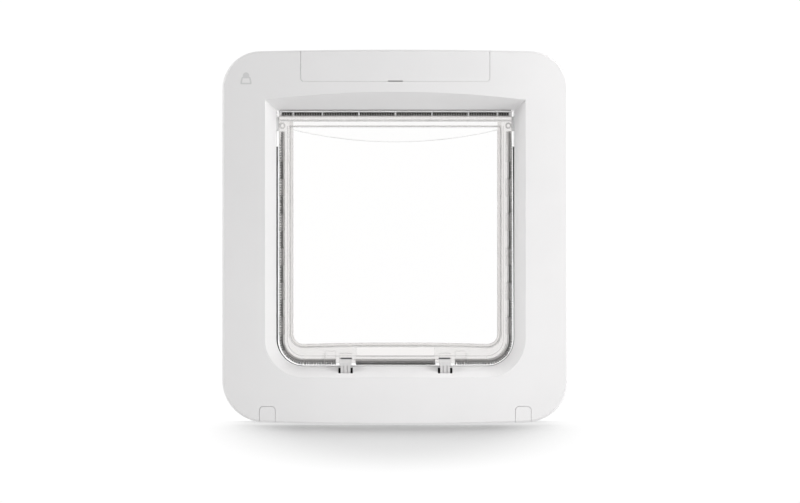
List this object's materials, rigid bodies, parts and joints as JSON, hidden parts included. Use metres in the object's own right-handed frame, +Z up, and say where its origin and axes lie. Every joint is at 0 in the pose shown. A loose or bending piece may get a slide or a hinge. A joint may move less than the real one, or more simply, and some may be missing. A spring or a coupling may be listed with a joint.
{
  "type": "cat flap",
  "caption": "Door-fitted cat flap: a white frame with a sloped recess, a clear top-hinged swinging flap sealed by pile strips, and a motor-driven lock whose tabs rise in front of the flap.",
  "frame": {"origin": "middle of the door cut-out, in the inner face of the door", "axes": "+Z up, +X to the right seen from the room, +Y through the door to the outside"},
  "size_m": [0.262, 0.085, 0.284],
  "materials": {
    "white_case": "satin moulded",
    "inner_plastic": "moulded",
    "housing_plastic": "moulded",
    "latch_plastic": "moulded",
    "gear_plastic": "moulded",
    "bush_plastic": "moulded",
    "button_plastic": "moulded",
    "clear_flap": "polished clear plastic",
    "lamp_lens": "glossy",
    "dark_pile": "dense short pile",
    "copper_wire": "enamelled winding",
    "screw_steel": "plated",
    "motor_can": "plated",
    "contact_metal": "plated spring strip",
    "circuit_board": "lacquered",
    "component_black": "moulded",
    "cell_jacket": "printed foil"
  },
  "bodies": {
    "frame": {"interior_bezel": "white_case", "chassis": "white_case", "exterior_frame": "white_case", "screw_cover_left": "white_case", "screw_cover_right": "white_case", "coil_sleeve": "white_case", "battery_box": "inner_plastic", "lock_housing": "housing_plastic", "pivot_bushes": "bush_plastic", "light_pipe": "clear_flap", "status_lamp": "lamp_lens", "antenna_coil": "copper_wire", "fixing_screws": "screw_steel", "lock_motor": "motor_can", "battery_contacts": "contact_metal", "control_board": "circuit_board", "board_components": "component_black", "learn_switch": "component_black", "battery_cells": "cell_jacket"},
    "flap": {"flap_panel": "clear_flap", "pile_top": "dark_pile", "pile_left": "dark_pile", "pile_right": "dark_pile", "pile_bottom": "dark_pile"},
    "lock_slider": {"lock_bar": "latch_plastic"},
    "pinion": {"lock_pinion": "gear_plastic", "pinion_shaft": "screw_steel"},
    "battery_lid": {"battery_cover": "white_case"},
    "button": {"learn_button": "button_plastic"}
  },
  "joints": [
    {"name": "flap_swing", "type": "hinge", "parent": "frame", "child": "flap", "pos_m": [0, -0.0185, 0.085], "axis": [1, 0, 0], "range_deg": [0, 85]},
    {"name": "lock_slide", "type": "slide", "parent": "frame", "child": "lock_slider", "axis": [0, 0, 1], "range_m": [-0.012, 0]},
    {"name": "pinion_spin", "type": "hinge", "parent": "frame", "child": "pinion", "pos_m": [0, -0.0197, -0.12], "axis": [1, 0, 0], "range_deg": [0, 120]},
    {"name": "battery_lid_lift", "type": "slide", "parent": "frame", "child": "battery_lid", "axis": [0, 0, 1], "range_m": [0, 0.045]},
    {"name": "learn_press", "type": "slide", "parent": "frame", "child": "button", "axis": [0, 1, 0], "range_m": [0, 0.0006], "stiffness_N_per_m": 300}
  ],
  "couplings": [
    {"joint": "pinion_spin", "follows": "lock_slide", "rad_per_m": -166.67}
  ]
}
